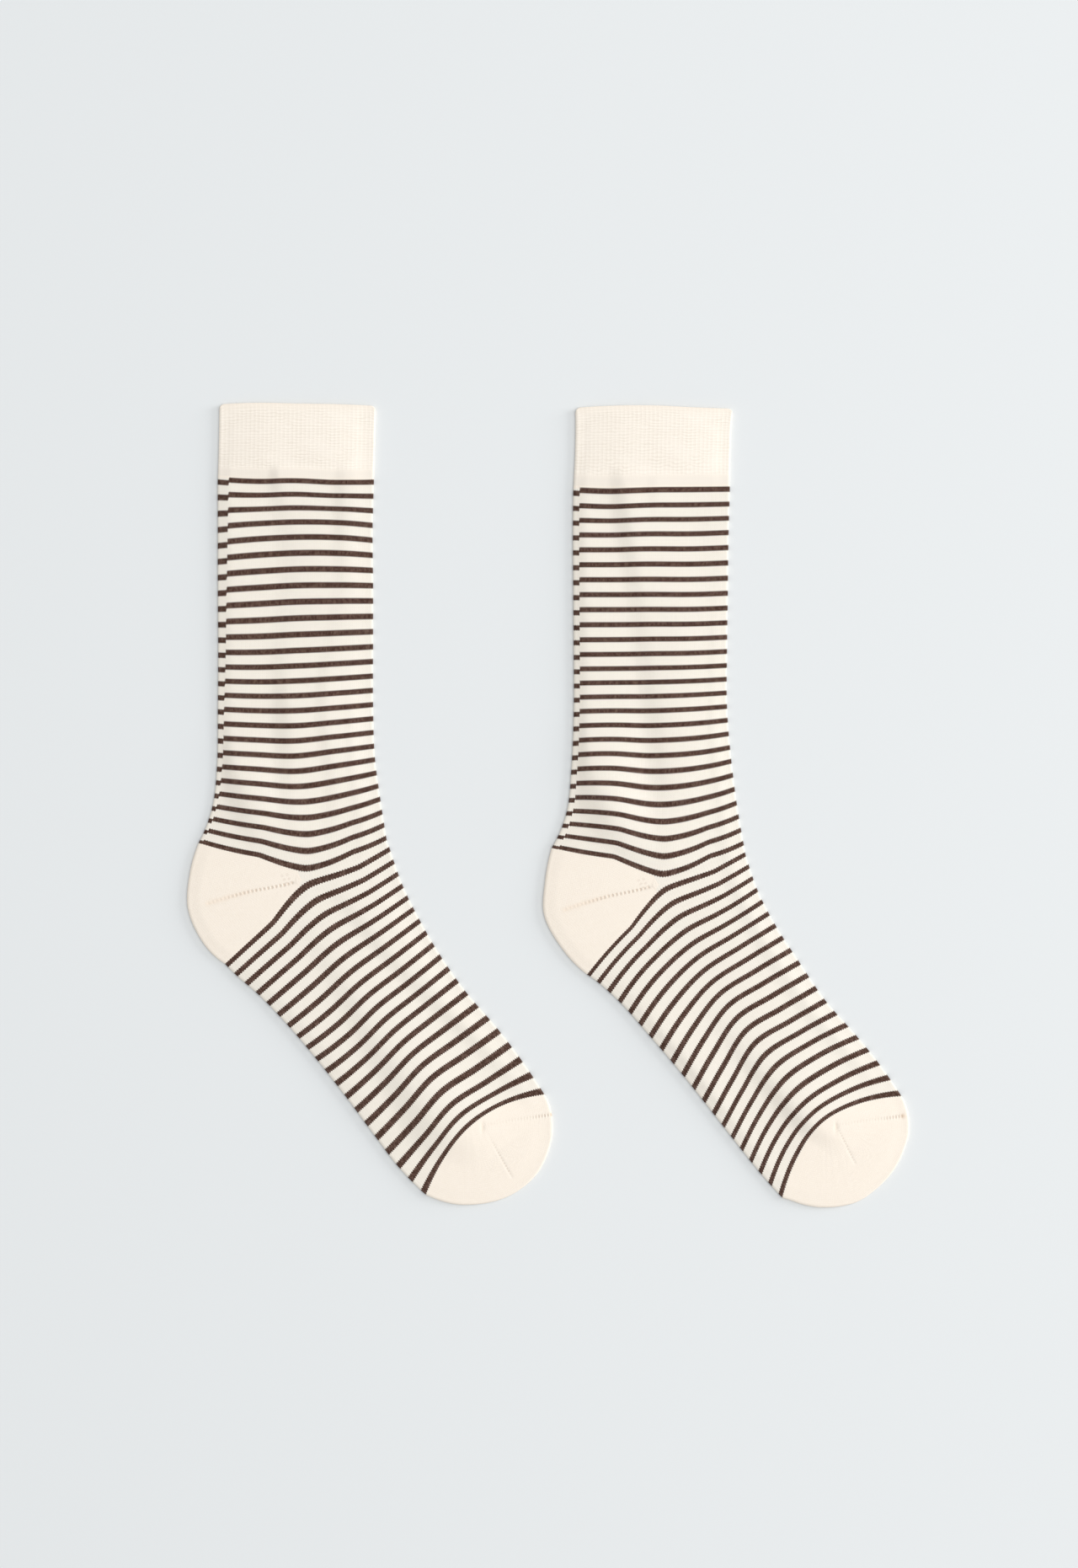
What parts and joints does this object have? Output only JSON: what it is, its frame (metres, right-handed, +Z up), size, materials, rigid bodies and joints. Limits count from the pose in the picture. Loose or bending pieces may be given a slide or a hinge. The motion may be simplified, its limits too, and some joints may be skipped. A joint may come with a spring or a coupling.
{
  "type": "pair of socks",
  "caption": "Pair of knitted crew socks with fine horizontal stripes and plain cuffs, heels and toes, laid flat side by side with the toes pointing the same way.",
  "frame": {"origin": "on the surface that the socks lie on, in the middle of the pair's footprint", "axes": "+Z up out of the surface; +Y from the toes to the cuffs, along the legs; +X across the pair, towards the side that the toes point to"},
  "size_m": [0.36, 0.4004, 0.0049],
  "materials": {
    "cuff": "matt cream cotton knit",
    "leg_and_foot": "matt cotton plain knit, ecru with thin dark brown stripes",
    "heel": "matt cream cotton plain knit",
    "toe": "matt cream cotton plain knit"
  },
  "bodies": {
    "root": {"left_cuff": "cuff", "left_leg_and_foot": "leg_and_foot", "left_heel": "heel", "left_toe": "toe", "right_cuff": "cuff", "right_leg_and_foot": "leg_and_foot", "right_heel": "heel", "right_toe": "toe"}
  },
  "joints": []
}
